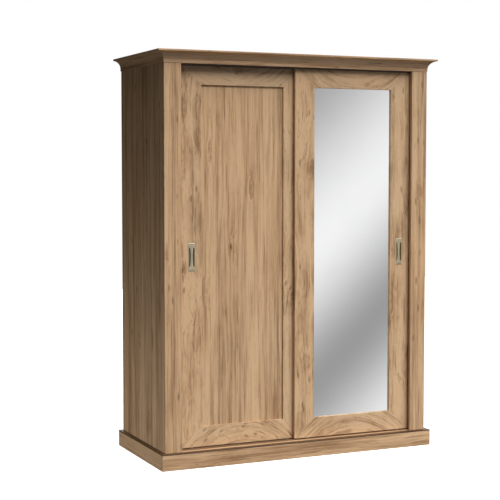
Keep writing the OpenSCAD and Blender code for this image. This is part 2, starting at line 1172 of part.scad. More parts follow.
side_left();
side_right();
bottom_panel();
top_panel();
partition();
hat_shelf_left();
hat_shelf_right();
shelf_lower();
shelf_middle();
shelf_upper();
back_sheet_left();
back_sheet_right();
back_screws();
base_rail_front();
base_rail_back();
base_rail_middle();
floor_glides();
pilaster_left();
pilaster_right();
fascia();
plinth_front();
plinth_left();
plinth_right();
plinth_caps();
cornice_front();
cornice_left();
cornice_right();
upper_track();
lower_track();
door_stops();
hanging_rail();
rail_sockets();
shelf_pins();
cam_fittings();
wooden_dowels();
chipboard_screws();
wall_brackets();
left_outer_stile();
left_inner_stile();
left_top_rail();
left_bottom_rail();
left_panel();
left_handle();
left_top_guides();
left_roller_housings();
left_roller_axles();
left_roller_outer();
left_roller_inner();
right_outer_stile();
right_inner_stile();
right_top_rail();
right_bottom_rail();
right_mirror();
right_backing();
right_handle();
right_top_guides();
right_roller_housings();
right_roller_axles();
right_roller_outer();
right_roller_inner();
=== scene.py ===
"""Looks of the sliding door wardrobe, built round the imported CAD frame.

Every part gets a procedural material. The boards that show also get copies with eased edges,
and the pulls get finer meshes. Metres, +X right, +Y back, +Z up; the doors face -Y.
"""
import json
import math

import bmesh
import bpy
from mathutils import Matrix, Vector

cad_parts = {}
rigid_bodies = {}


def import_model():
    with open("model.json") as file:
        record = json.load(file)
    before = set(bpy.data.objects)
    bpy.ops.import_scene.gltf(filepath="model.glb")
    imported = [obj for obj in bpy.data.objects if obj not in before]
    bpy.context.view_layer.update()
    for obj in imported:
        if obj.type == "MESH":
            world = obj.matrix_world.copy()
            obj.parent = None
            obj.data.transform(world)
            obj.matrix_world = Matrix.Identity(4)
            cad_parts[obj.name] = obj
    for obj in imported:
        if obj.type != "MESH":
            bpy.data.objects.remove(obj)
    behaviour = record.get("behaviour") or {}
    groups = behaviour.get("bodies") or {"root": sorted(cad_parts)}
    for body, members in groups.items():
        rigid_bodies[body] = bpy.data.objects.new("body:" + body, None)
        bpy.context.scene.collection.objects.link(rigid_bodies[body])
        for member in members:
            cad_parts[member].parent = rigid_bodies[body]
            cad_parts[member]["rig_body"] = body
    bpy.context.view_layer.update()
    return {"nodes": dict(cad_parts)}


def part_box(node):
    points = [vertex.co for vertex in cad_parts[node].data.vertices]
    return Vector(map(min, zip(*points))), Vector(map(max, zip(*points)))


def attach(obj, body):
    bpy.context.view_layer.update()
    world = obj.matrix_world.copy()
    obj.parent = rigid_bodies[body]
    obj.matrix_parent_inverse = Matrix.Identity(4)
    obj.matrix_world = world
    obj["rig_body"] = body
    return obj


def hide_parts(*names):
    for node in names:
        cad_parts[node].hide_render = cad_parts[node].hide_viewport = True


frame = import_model()
scene = bpy.context.scene
scene.view_settings.view_transform = "Standard"

# ---------------------------------------------------------------- camera

CAMERA_PLACE = (-2.9370, -6.1875, 1.4906)
CAMERA_YAW = 0.4232
CAMERA_PITCH = 0.0628
CAMERA_LENS = 92.05
CAMERA_SENSOR = 36

camera_data = bpy.data.cameras.new("camera")
camera_data.sensor_width = CAMERA_SENSOR
camera_data.lens = CAMERA_LENS
camera = bpy.data.objects.new("camera", camera_data)
camera.location = CAMERA_PLACE
camera.rotation_euler = (math.pi / 2 - CAMERA_PITCH, 0, -CAMERA_YAW)
scene.collection.objects.link(camera)
scene.camera = camera


# ---------------------------------------------------------------- shader helpers

NOISE_ROUGH = 0.6


def node(tree, kind, inputs=None, **props):
    """A shader node with its inputs set, or linked where a socket is given."""
    made = tree.nodes.new(kind)
    for key, value in props.items():
        setattr(made, key, value)
    for key, value in (inputs or {}).items():
        if isinstance(value, bpy.types.NodeSocket):
            tree.links.new(value, made.inputs[key])
        else:
            made.inputs[key].default_value = value
    return made


def empty_material(name):
    """A new material with no nodes yet, and its tree."""
    made = bpy.data.materials.new(name)
    made.use_nodes = True
    made.node_tree.nodes.clear()
    return made, made.node_tree


def maths(tree, operation, *values, clamp=False):
    inputs = dict(enumerate(values))
    return node(tree, "ShaderNodeMath", inputs, operation=operation, use_clamp=clamp).outputs[0]


def product(tree, first, second):
    return maths(tree, "MULTIPLY", first, second)


def swung(tree, value, pattern, reach):
    """The value with a 0 to 1 pattern added about the pattern's middle."""
    return maths(tree, "MULTIPLY_ADD", maths(tree, "SUBTRACT", pattern, 0.5), reach, value)


def scaled(tree, vector, scale):
    inputs = {0: vector, 1: scale}
    return node(tree, "ShaderNodeVectorMath", inputs, operation="MULTIPLY").outputs[0]


def noise(tree, vector, scale, detail=2.0, rough=0.5):
    inputs = {
        "Vector": scaled(tree, vector, scale),
        "Scale": 1.0,
        "Detail": detail,
        "Roughness": rough,
    }
    return node(tree, "ShaderNodeTexNoise", inputs).outputs["Fac"]


def cells(tree, vector, scale):
    """Voronoi cells: the distance to each one's middle, and a random number of its own."""
    inputs = {"Vector": scaled(tree, vector, scale), "Scale": 1.0}
    made = node(tree, "ShaderNodeTexVoronoi", inputs)
    random = node(tree, "ShaderNodeSeparateColor", {0: made.outputs["Color"]})
    return made.outputs["Distance"], random.outputs


def step(tree, value, low, high):
    """0 below low and 1 above high, smooth between; low above high turns it over."""
    turned = low > high
    inputs = {
        "Value": value,
        "From Min": min(low, high),
        "From Max": max(low, high),
        "To Min": 1.0 if turned else 0.0,
        "To Max": 0.0 if turned else 1.0,
    }
    return node(tree, "ShaderNodeMapRange", inputs, interpolation_type="SMOOTHSTEP").outputs[0]


def ramp(tree, value, stops, between="LINEAR"):
    made = node(tree, "ShaderNodeValToRGB", {"Fac": value})
    made.color_ramp.interpolation = between
    elements = made.color_ramp.elements
    while len(elements) < len(stops):
        elements.new(0.5)
    for element, (place, color) in zip(elements, stops):
        element.position = place
        element.color = (*color, 1)
    return made.outputs["Color"]


def mix(tree, share, first, second, blend="MIX"):
    """Two colors mixed, each a socket or three numbers."""
    first, second = (
        color if isinstance(color, bpy.types.NodeSocket) else (*color, 1)
        for color in (first, second)
    )
    inputs = {0: share, 6: first, 7: second}
    return node(tree, "ShaderNodeMix", inputs, data_type="RGBA", blend_type=blend).outputs[2]


def point(tree):
    """The place on the part, in metres; the parts' objects sit at the origin."""
    return node(tree, "ShaderNodeTexCoord").outputs["Object"]


def painted(tree, layer):
    """A number that the mesh carries under that name."""
    return node(tree, "ShaderNodeAttribute", attribute_name=layer).outputs["Fac"]


# ---------------------------------------------------------------- oak

OAK_PALE = (0.655, 0.445, 0.258)
OAK_MID = (0.505, 0.322, 0.176)
OAK_DEEP = (0.300, 0.172, 0.082)
OAK_KNOT = (0.120, 0.059, 0.022)
OAK_WORN = (0.56, 0.40, 0.26)
OAK_REDDER = (1.03, 0.985, 0.95)

# How many of each figure there are to the metre: across the board, through it, along its grain.
KNOTS = (9, 9, 3.4)
KNOT_EDGES = (90, 90, 30)
DRIFTS = (3.4, 3.4, 1.5)
BANDS = (21, 21, 0.6)
STRIPS = (80, 80, 2.3)
FIBRES = (420, 420, 8)
CLOUDS = (9, 9, 4.2)
GROWTH = (8, 8, 1.9)
PATCHES = (6, 6, 2.4)
CRACKS = (19, 19, 3.1)
FLECKS = (26, 26, 7)
STREAKS = (46, 46, 7.0)
HAIRS = (130, 130, 3.0)
THREADS = (250, 250, 5.5)
PORES = (520, 520, 26)
HUES = (2.6, 2.6, 0.8)

# Where each figure begins to show in its noise or its cell, and where it shows in full.
KNOT_CHOICE = (0.60, 0.66)
HEART_EDGE = (0.105, 0.03)
HALO_EDGE = (0.36, 0.04)
PATCH_EDGE = (0.42, 0.62)
CRACK_EDGE = (0.016, 0.003)
CRACK_CLOUD = (0.53, 0.64)
FLECK_EDGE = (0.22, 0.07)
FLECK_CHOICE = (0.62, 0.70)
STREAK_EDGE = (0.655, 0.77)
HAIR_EDGE = (0.55, 0.70)
THREAD_EDGE = (0.55, 0.66)
PORE_EDGE = (0.60, 0.75)
HUE_EDGE = (0.35, 0.65)

# What grows with the swirl: by how much, and what it is in straight grain.
KNOTS_MORE = 0.22
STREAKS_MORE = 0.045
DRIFT_REACH = (0.115, 0.014)
LINE_SHARE = (0.75, 0.18)
CRACK_DARK = (0.40, 0.05)
BASE_TONE = (0.12, 0.64)
CLOUD_TONE = (1.3, 0.35)

# What each figure adds to the tone, which is 0 in deep wood and 1 in pale wood.
BAND_TONE = 1.45
STRIP_TONE = 1.60
FIBRE_TONE = 0.42
LINE_TONE = -0.20
HAIR_TONE = -0.46
THREAD_TONE = -0.22
RING_TONE = -0.22
HALO_TONE = -0.16

# How far each dark figure goes to the knots' color.
STREAK_DARK = 0.50
FLECK_DARK = 0.60
PORE_DARK = 0.26

KNOT_RAGGED = 0.07
KNOT_PUSH = 0.012
LINE_FREQUENCY = 120.0
LINE_THIN = 3.0
RING_FREQUENCY = 150.0
WEAR_SHARE = 0.18


def oak_group():
    """Knotty oak foil. The vector runs along the grain in z; swirl turns straight grain wild."""
    tree = bpy.data.node_groups.new("knotty_oak", "ShaderNodeTree")
    for name, kind, side in (
        ("Vector", "NodeSocketVector", "INPUT"),
        ("Swirl", "NodeSocketFloat", "INPUT"),
        ("Wear", "NodeSocketFloat", "INPUT"),
        ("Color", "NodeSocketColor", "OUTPUT"),
        ("Roughness", "NodeSocketFloat", "OUTPUT"),
        ("Height", "NodeSocketFloat", "OUTPUT"),
    ):
        tree.interface.new_socket(name, in_out=side, socket_type=kind)
    given = node(tree, "NodeGroupInput")
    vector, swirl, wear = (given.outputs[key] for key in ("Vector", "Swirl", "Wear"))

    def by_swirl(rise, base, clamp=False):
        return maths(tree, "MULTIPLY_ADD", swirl, rise, base, clamp=clamp)

    # Knots: sparse stretched cells whose middles are dark and bend the grain round them.
    distance, random = cells(tree, vector, KNOTS)
    chosen = step(tree, by_swirl(KNOTS_MORE, random[0]), *KNOT_CHOICE)
    ragged = noise(tree, vector, KNOT_EDGES, 3.0, NOISE_ROUGH)
    near = swung(tree, distance, ragged, KNOT_RAGGED)
    heart = product(tree, step(tree, near, *HEART_EDGE), chosen)
    halo = product(tree, step(tree, near, *HALO_EDGE), chosen)

    # The grain's sideways drift: slight in straight boards, wide in the frames.
    drift = maths(tree, "SUBTRACT", noise(tree, vector, DRIFTS), 0.5)
    drift = product(tree, drift, by_swirl(*DRIFT_REACH))
    drift = maths(tree, "MULTIPLY_ADD", halo, KNOT_PUSH, drift)
    shift = node(tree, "ShaderNodeCombineXYZ", {"X": drift, "Y": drift}).outputs[0]
    grain = node(tree, "ShaderNodeVectorMath", {0: vector, 1: shift}).outputs[0]

    bands = noise(tree, grain, BANDS)
    strips = noise(tree, grain, STRIPS, 3.0, NOISE_ROUGH)
    fibres = noise(tree, grain, FIBRES, 3.0, NOISE_ROUGH)
    clouds = noise(tree, vector, CLOUDS, 3.0, NOISE_ROUGH)
    patchy = step(tree, noise(tree, vector, PATCHES), *PATCH_EDGE)

    # Growth lines: contours of a stretched noise, seen mostly where the grain swirls.
    field = noise(tree, grain, GROWTH, 1.5, 0.4)
    lines = maths(tree, "SINE", product(tree, field, LINE_FREQUENCY))
    lines = maths(tree, "POWER", maths(tree, "MULTIPLY_ADD", lines, 0.5, 0.5), LINE_THIN)
    lines = product(tree, lines, product(tree, patchy, by_swirl(*LINE_SHARE)))

    # Cracks: thin dark lines that wander with the grain, in patches.
    crack = maths(tree, "SUBTRACT", noise(tree, grain, CRACKS, 2.5), 0.5)
    crack = step(tree, maths(tree, "ABSOLUTE", crack), *CRACK_EDGE)
    crack = product(tree, crack, step(tree, clouds, *CRACK_CLOUD))
    crack = product(tree, crack, by_swirl(*CRACK_DARK, clamp=True))

    # Flecks: short dark lens-shaped marks, sparse on every board.
    distance, random = cells(tree, grain, FLECKS)
    picked = step(tree, random[1], *FLECK_CHOICE)
    fleck = product(tree, step(tree, distance, *FLECK_EDGE), picked)

    # Dark streaks, hairs, threads and pores, each finer than the last, along the grain.
    streaks = by_swirl(STREAKS_MORE, noise(tree, grain, STREAKS, 3.0, NOISE_ROUGH))
    streaks = step(tree, streaks, *STREAK_EDGE)
    hairs = step(tree, noise(tree, grain, HAIRS, 3.0, NOISE_ROUGH), *HAIR_EDGE)
    hairs = product(tree, hairs, maths(tree, "MULTIPLY_ADD", patchy, 0.55, 0.45))
    threads = step(tree, noise(tree, grain, THREADS, 3.0, NOISE_ROUGH), *THREAD_EDGE)
    pores = step(tree, noise(tree, grain, PORES, 1.0), *PORE_EDGE)

    # Rings round the knots.
    rings = maths(tree, "SINE", product(tree, near, RING_FREQUENCY))
    rings = product(tree, maths(tree, "MULTIPLY_ADD", rings, 0.5, 0.5), halo)

    tone = swung(tree, by_swirl(*BASE_TONE), bands, BAND_TONE)
    tone = swung(tree, tone, strips, STRIP_TONE)
    tone = swung(tree, tone, fibres, FIBRE_TONE)
    tone = swung(tree, tone, clouds, by_swirl(*CLOUD_TONE))
    tone = maths(tree, "MULTIPLY_ADD", lines, LINE_TONE, tone)
    tone = maths(tree, "MULTIPLY_ADD", hairs, HAIR_TONE, tone)
    tone = maths(tree, "MULTIPLY_ADD", threads, THREAD_TONE, tone)
    tone = maths(tree, "MULTIPLY_ADD", rings, RING_TONE, tone)
    tone = maths(tree, "MULTIPLY_ADD", halo, HALO_TONE, tone, clamp=True)
    color = ramp(tree, tone, [(0.12, OAK_DEEP), (0.48, OAK_MID), (0.85, OAK_PALE)])

    # A slow change between redder and yellower wood, then the dark figures and the wear.
    redder = step(tree, noise(tree, vector, HUES, 1.0), *HUE_EDGE)
    color = mix(tree, redder, color, mix(tree, 1.0, color, OAK_REDDER, "MULTIPLY"))
    dark = maths(tree, "MAXIMUM", heart, product(tree, streaks, STREAK_DARK))
    dark = maths(tree, "MAXIMUM", dark, crack)
    dark = maths(tree, "MAXIMUM", dark, product(tree, fleck, FLECK_DARK))
    dark = maths(tree, "MAXIMUM", dark, product(tree, pores, PORE_DARK))
    color = mix(tree, dark, color, OAK_KNOT)
    color = mix(tree, product(tree, wear, WEAR_SHARE), color, OAK_WORN)

    rough = maths(tree, "MULTIPLY_ADD", fibres, 0.16, 0.40)
    rough = maths(tree, "MULTIPLY_ADD", dark, 0.12, rough)
    rough = maths(tree, "MULTIPLY_ADD", wear, -0.08, rough)
    height = maths(tree, "MULTIPLY_ADD", dark, -0.7, fibres)
    height = maths(tree, "MULTIPLY_ADD", strips, 0.5, height)
    height = maths(tree, "MULTIPLY_ADD", pores, -0.5, height)
    node(tree, "NodeGroupOutput", {"Color": color, "Roughness": rough, "Height": height})
    return tree


OAK = oak_group()
OAK_RELIEF = 0.00025
OAK_BUMP = 0.8
OAK_SPECULAR = 0.35
OAK_PATCH = (1.37, 0.73, 2.11)
GRAIN_TURN = {"z": (0, 0, 0), "x": (0, math.pi / 2, 0), "y": (math.pi / 2, 0, 0)}
oak_count = 0


def oak(name, grain="z", swirl=0.0, tint=None, bow_x=0.0, bow=0.0, short=1.0):
    """An oak foil with its grain along an axis, from a patch of the figure that is its own.

    A level grain can bow: it climbs to both sides of bow_x, or falls where bow is below 0, as
    on the doors' rails. A figure that is short has strokes that many times shorter.
    """
    global oak_count
    oak_count += 1
    made, tree = empty_material(name)
    place = point(tree)
    if bow:
        axes = node(tree, "ShaderNodeSeparateXYZ", {0: place}).outputs
        away = maths(tree, "SUBTRACT", axes[0], bow_x)
        climb = product(tree, product(tree, away, away), bow)
        level = maths(tree, "SUBTRACT", axes[2], climb)
        inputs = {0: axes[0], 1: axes[1], 2: level}
        place = node(tree, "ShaderNodeCombineXYZ", inputs).outputs[0]
    patch = tuple(reach * oak_count for reach in OAK_PATCH)
    inputs = {"Vector": place, "Rotation": GRAIN_TURN[grain], "Location": patch}
    mapped = node(tree, "ShaderNodeMapping", inputs, vector_type="POINT")
    along = scaled(tree, mapped.outputs[0], (1, 1, short))
    inputs = {"Vector": along, "Swirl": swirl, "Wear": painted(tree, "wear")}
    wood = node(tree, "ShaderNodeGroup", inputs, node_tree=OAK).outputs
    color = wood["Color"]
    # A tint multiplies the colour; on the plinth caps it is painted shade.
    if tint:
        color = mix(tree, 1.0, color, tint, "MULTIPLY")
    inputs = {"Height": wood["Height"], "Distance": OAK_RELIEF, "Strength": OAK_BUMP}
    bump = node(tree, "ShaderNodeBump", inputs)
    inputs = {
        "Base Color": color,
        "Roughness": wood["Roughness"],
        "Normal": bump.outputs[0],
        "Specular IOR Level": OAK_SPECULAR,
    }
    surface = node(tree, "ShaderNodeBsdfPrincipled", inputs)
    node(tree, "ShaderNodeOutputMaterial", {"Surface": surface.outputs[0]})
    return made


# ---------------------------------------------------------------- other materials

def speckled(first, second, scale, low=0.4, high=0.6, detail=3.0):
    """A color function: two tones mixed by a noise."""
    def color(tree):
        share = step(tree, noise(tree, point(tree), scale, detail, NOISE_ROUGH), low, high)
        return mix(tree, share, first, second)
    return color


def spread(base, reach, scale, detail=3.0):
    """A value function: base plus a noise of that reach."""
    def value(tree):
        pattern = noise(tree, point(tree), scale, detail, NOISE_ROUGH)
        return maths(tree, "MULTIPLY_ADD", pattern, reach, base)
    return value


def relief(scale):
    return spread(0.0, 1.0, scale, 2.0)


def chips(tree):
    random = cells(tree, point(tree), (190, 190, 190))[1]
    stops = [(0.0, (0.30, 0.19, 0.10)), (0.5, (0.46, 0.32, 0.19)), (1.0, (0.60, 0.45, 0.29))]
    return ramp(tree, random[0], stops)


def spangle(tree):
    random = cells(tree, point(tree), (260, 260, 260))[1]
    return ramp(tree, random[1], [(0.0, (0.56, 0.57, 0.58)), (1.0, (0.72, 0.73, 0.73))])


def nickel_color(tree):
    """Antique nickel with brown blotches. Brown patina with painted shade darkens the slots and the
    lip groove; a painted highlight lightens the rim, and wear from hands lightens the grip's
    flanks.
    """
    blotch = step(tree, noise(tree, point(tree), (160, 160, 90), 4.0, 0.65), 0.40, 0.66)
    metal = mix(tree, product(tree, blotch, 0.45), (0.50, 0.43, 0.29), (0.33, 0.28, 0.17))
    # Painted highlight along the rim, and wear on the grip's flanks, in a paler metal.
    metal = mix(tree, product(tree, painted(tree, "highlight_and_wear"), 0.75), metal, (0.74, 0.68, 0.55))
    # Patina with painted shade in the slots; the lip groove is painted dark as the shadow under the
    # pull.
    return mix(tree, product(tree, painted(tree, "hollow"), 0.9), metal, (0.230, 0.185, 0.100))


def fluted(tree):
    share = noise(tree, point(tree), (60, 900, 900))
    return mix(tree, share, (0.50, 0.36, 0.20), (0.68, 0.53, 0.33))


# For each finish: its functions for color, roughness and height, the relief's depth in metres,
# and what is the same all over it.
FINISHES = {
    "white_board": (
        speckled((0.66, 0.63, 0.57), (0.76, 0.73, 0.67), (420, 420, 160), 0.3, 0.7, 4.0),
        spread(0.50, 0.22, (60, 60, 60)),
        relief((900, 900, 500)),
        0.0002,
        {"Specular IOR Level": 0.3},
    ),
    "grey_backing": (
        speckled((0.20, 0.145, 0.095), (0.31, 0.235, 0.165), (240, 240, 90)),
        spread(0.62, 0.25, (120, 120, 120)),
        relief((900, 900, 500)),
        0.0002,
        {"Specular IOR Level": 0.25},
    ),
    "raw_chipboard": (
        chips,
        spread(0.68, 0.22, (200, 200, 200)),
        relief((420, 420, 420)),
        0.0004,
        {"Specular IOR Level": 0.25},
    ),
    "bronze_track": (
        speckled((0.200, 0.108, 0.055), (0.270, 0.155, 0.085), (2.5, 700, 700)),
        spread(0.30, 0.22, (3, 500, 500)),
        relief((3, 1200, 1200)),
        0.00006,
        {"Metallic": 0.2},
    ),
    # A darker copy of the bronze track for the upper track, which sits in shadow: painted shade.
    "shaded_track": (
        speckled((0.040, 0.024, 0.012), (0.070, 0.042, 0.022), (2.5, 700, 700)),
        spread(0.40, 0.22, (3, 500, 500)),
        relief((3, 1200, 1200)),
        0.00006,
        {"Metallic": 0.2},
    ),
    "black_plastic": (
        speckled((0.018, 0.018, 0.019), (0.034, 0.034, 0.034), (300, 300, 300)),
        spread(0.42, 0.25, (220, 220, 220)),
        relief((1500, 1500, 1500)),
        0.0001,
        {},
    ),
    "chrome_rail": (
        speckled((0.66, 0.67, 0.69), (0.76, 0.77, 0.78), (6, 90, 90)),
        spread(0.07, 0.14, (12, 160, 160)),
        relief((9, 800, 800)),
        0.00003,
        {"Metallic": 1.0},
    ),
    "zinc_steel": (
        spangle,
        spread(0.28, 0.24, (320, 320, 320)),
        relief((900, 900, 900)),
        0.00005,
        {"Metallic": 1.0},
    ),
    "birch_dowel": (
        fluted,
        spread(0.60, 0.20, (300, 300, 300)),
        relief((80, 1400, 1400)),
        0.0002,
        {},
    ),
    "antique_nickel": (
        nickel_color,
        spread(0.26, 0.24, (420, 420, 60)),
        relief((1600, 1600, 90)),
        0.00004,
        {"Metallic": 0.75},
    ),
    "white_nylon": (
        speckled((0.70, 0.70, 0.66), (0.80, 0.80, 0.77), (140, 140, 140)),
        spread(0.34, 0.18, (240, 240, 240)),
        relief((1300, 1300, 1300)),
        0.00006,
        {},
    ),
    "mirror_glass": (
        speckled((0.960, 0.962, 0.963), (0.975, 0.976, 0.977), (3, 3, 3)),
        spread(0.0, 0.018, (14, 14, 9)),
        None,
        0.0,
        {"Metallic": 1.0},
    ),
}


def finish_material(name, color, rough, height, depth, constants):
    made, tree = empty_material(name)
    inputs = {"Base Color": color(tree), "Roughness": rough(tree), **constants}
    if height:
        relief_inputs = {"Height": height(tree), "Distance": depth, "Strength": 1.0}
        inputs["Normal"] = node(tree, "ShaderNodeBump", relief_inputs).outputs[0]
    surface = node(tree, "ShaderNodeBsdfPrincipled", inputs)
    node(tree, "ShaderNodeOutputMaterial", {"Surface": surface.outputs[0]})
    return made


MATERIALS = {name: finish_material(name, *finish) for name, finish in FINISHES.items()}


# ---------------------------------------------------------------- boards

EASE = 0.0009
CAP_EASE = 0.0006
LONG_EDGE = 0.012
SHARP_EDGE = math.radians(35)
FLAT = math.radians(0.5)
KEPT_CREASE = math.radians(50)
CAD_SEAM = 1e-5
BEVEL_SEAM = 3e-5


def body_of(name):
    return frame["nodes"][name]["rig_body"]


def eased(name, material, width=EASE):
    """A copy of a CAD board with its long outer edges rounded; it stands in for the node."""
    made = bmesh.new()
    made.from_mesh(frame["nodes"][name].data)
    bmesh.ops.remove_doubles(made, verts=made.verts, dist=CAD_SEAM)
    bmesh.ops.dissolve_limit(made, angle_limit=FLAT, verts=made.verts, edges=made.edges)
    wear = made.faces.layers.float.new("wear")
    sharp = [
        edge for edge in made.edges
        if len(edge.link_faces) == 2
        and edge.calc_length() > LONG_EDGE
        and edge.calc_face_angle_signed() > SHARP_EDGE
    ]
    rounded = bmesh.ops.bevel(
        made, geom=sharp, offset=width, offset_type="OFFSET", segments=2, profile=0.5,
        affect="EDGES", clamp_overlap=False,
    )
    for face in rounded["faces"]:
        face[wear] = 1.0
    bmesh.ops.remove_doubles(made, verts=made.verts, dist=BEVEL_SEAM)
    mesh = bpy.data.meshes.new(name + "_eased")
    made.to_mesh(mesh)
    made.free()
    mesh.shade_smooth()
    mesh.set_sharp_from_angle(angle=KEPT_CREASE)
    mesh.materials.append(material)
    board = bpy.data.objects.new(name + "_eased", mesh)
    scene.collection.objects.link(board)
    even = board.modifiers.new("even_normals", "WEIGHTED_NORMAL")
    even.keep_sharp = True
    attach(board, body_of(name))
    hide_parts(name)


UPRIGHT = ["side_left", "side_right", "partition", "pilaster_left", "pilaster_right"]
LEVEL = [
    "bottom_panel", "top_panel", "hat_shelf_left", "hat_shelf_right", "shelf_lower",
    "shelf_middle", "shelf_upper", "fascia", "plinth_front", "cornice_front",
]
DEEP = ["plinth_left", "plinth_right", "cornice_left", "cornice_right"]
STILES = ["left_outer_stile", "left_inner_stile", "right_inner_stile", "right_outer_stile"]
LEVEL_SWIRL = 0.15
STILE_SWIRL = 0.75
STILE_SHORT = 1.2
RAIL_SWIRL = 0.52
RAIL_SHORT = 2.0
RAIL_BOW = 1.7
PANEL_SWIRL = 0.03
CAP_SWIRL = 0.1
# The plinth caps' dark tint is painted shade, standing in for the shadowed gap at the body's foot.
CAP_SHADE_TINT = (0.19, 0.145, 0.10)

# The order matters: each call of oak() takes the next patch of the figure.
for part in UPRIGHT:
    eased(part, oak("oak_" + part))
for part in LEVEL:
    eased(part, oak("oak_" + part, "x", LEVEL_SWIRL))
for part in DEEP:
    eased(part, oak("oak_" + part, "y", LEVEL_SWIRL))
for part in STILES:
    eased(part, oak("oak_" + part, "z", STILE_SWIRL, short=STILE_SHORT))
for side in ("left", "right"):
    low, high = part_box(side + "_top_rail")
    middle = (low.x + high.x) / 2
    for rail, bow in (("_top_rail", RAIL_BOW), ("_bottom_rail", -RAIL_BOW)):
        wood = oak("oak_" + side + rail, "x", RAIL_SWIRL, None, middle, bow, RAIL_SHORT)
        eased(side + rail, wood)
eased("left_panel", oak("oak_left_panel", "z", PANEL_SWIRL))
# The caps are tinted dark: painted shade for the gap at the body's foot.
eased("plinth_caps", oak("shaded_oak_plinth_caps", "x", CAP_SWIRL, CAP_SHADE_TINT), CAP_EASE)

CARRIED = {
    "white_board": ["back_sheet_left", "back_sheet_right"],
    "grey_backing": ["right_backing"],
    "raw_chipboard": ["base_rail_front", "base_rail_back", "base_rail_middle"],
    "bronze_track": ["lower_track"],
    "shaded_track": ["upper_track"],
    "black_plastic": ["floor_glides", "door_stops"],
    "chrome_rail": ["hanging_rail", "rail_sockets"],
    "zinc_steel": [
        "back_screws", "cam_fittings", "chipboard_screws", "shelf_pins", "wall_brackets",
        "left_roller_axles", "right_roller_axles", "left_roller_housings",
        "right_roller_housings",
    ],
    "birch_dowel": ["wooden_dowels"],
    "white_nylon": [
        "left_top_guides", "right_top_guides", "left_roller_outer", "left_roller_inner",
        "right_roller_outer", "right_roller_inner",
    ],
    "mirror_glass": ["right_mirror"],
}
for finish, parts in CARRIED.items():
    for part in parts:
        frame["nodes"][part].material_slots[0].material = MATERIALS[finish]


# ---------------------------------------------------------------- pulls

PULL_ROWS = 150
PULL_COLUMNS = 54
PULL_CORNER = 0.006
PULL_PROUD = 0.0015
PULL_SHEET = 0.0004
PULL_CREASE = math.radians(60)
# The rows stand closer together towards the ends, by this share of a sine's spacing.
ROW_CROWDING = 0.35
ROW_TURN = math.pi / 2 * 0.999
SLOT_HALF_WIDTH = 0.0145
SLOT_HALF_HEIGHT = 0.052
SLOT_DEPTH = 0.0085
SLOT_END_BOW = 0.006
GRIP_HALF_WIDTH = 0.0052
GRIP_FLARE = 0.0048
GRIP_CROWN = 0.0009
# A shallow groove at the pull's lower end, painted dark as the shadow under the pull.
LIP_DEPTH = 0.0012
LIP_LOW, LIP_HIGH = 0.0008, 0.0062
LIP_SIDE = 0.0030
# The width of the painted highlight along the plate's rim.
RIM_HIGHLIGHT_WIDTH = 0.0024
CUP_HALF_WIDTH = 0.0160
CUP_HALF_HEIGHT = 0.0622
# How wide the rounding of each edge is, or where it begins and ends beside the edge.
PLATE_ROUND = 0.0016
SLOT_ROUND = (-0.0003, 0.0011)
SLOT_END_ROUND = (-0.0004, 0.0022)
GRIP_ROUND = 0.0016
LIP_LOW_ROUND = 0.0006
LIP_HIGH_ROUND = 0.0008
LIP_SIDE_ROUND = 0.0010
RIM_HIGHLIGHT_ROUND = 0.0008
CUP_ROUND = (-0.0006, 0.0006)
CUP_END_ROUND = (-0.0012, 0.0012)
GRIP_RUBBED = 0.5


def smooth(value, low, high):
    share = min(1.0, max(0.0, (value - low) / (high - low)))
    return share * share * (3 - 2 * share)


def pull_front(u, v, half_w, half_h):
    """The pull's front at u across and v up from its middle: how far it stands out of the
    door, how much patina and painted shade darken it, and how much painted highlight and wear
    lighten it."""
    rim = min(half_w - abs(u), half_h - abs(v))
    plate = PULL_PROUD * smooth(rim, 0.0, PLATE_ROUND)
    waist = GRIP_HALF_WIDTH + GRIP_FLARE * (v / SLOT_HALF_HEIGHT) ** 2
    end = SLOT_HALF_HEIGHT - SLOT_END_BOW * (abs(u) / SLOT_HALF_WIDTH) ** 2
    inside = smooth(SLOT_HALF_WIDTH - abs(u), *SLOT_ROUND)
    inside *= smooth(end - abs(v), *SLOT_END_ROUND)
    clear = smooth(abs(u), waist, waist + GRIP_ROUND)
    slot = inside * clear
    grip = inside * (1 - clear)
    crest = grip * GRIP_CROWN * (abs(u) / waist) ** 2
    lip = smooth(v + half_h, LIP_LOW, LIP_LOW + LIP_LOW_ROUND)
    lip *= smooth(LIP_HIGH - half_h - v, 0.0, LIP_HIGH_ROUND)
    lip *= smooth(half_w - abs(u), LIP_SIDE, LIP_SIDE + LIP_SIDE_ROUND)
    # A band along the plate's rim carries a painted highlight; the grip's flanks carry wear from
    # hands.
    highlight_and_wear = smooth(RIM_HIGHLIGHT_WIDTH - rim, 0.0, RIM_HIGHLIGHT_ROUND)
    highlight_and_wear += GRIP_RUBBED * grip * smooth(abs(u), 0.5 * waist, waist)
    out = plate - crest - (SLOT_DEPTH + plate) * slot - LIP_DEPTH * lip
    # The slots take patina and painted shade; the lip groove is painted dark as the shadow under
    # the pull.
    return out, max(slot, lip), min(1.0, highlight_and_wear)


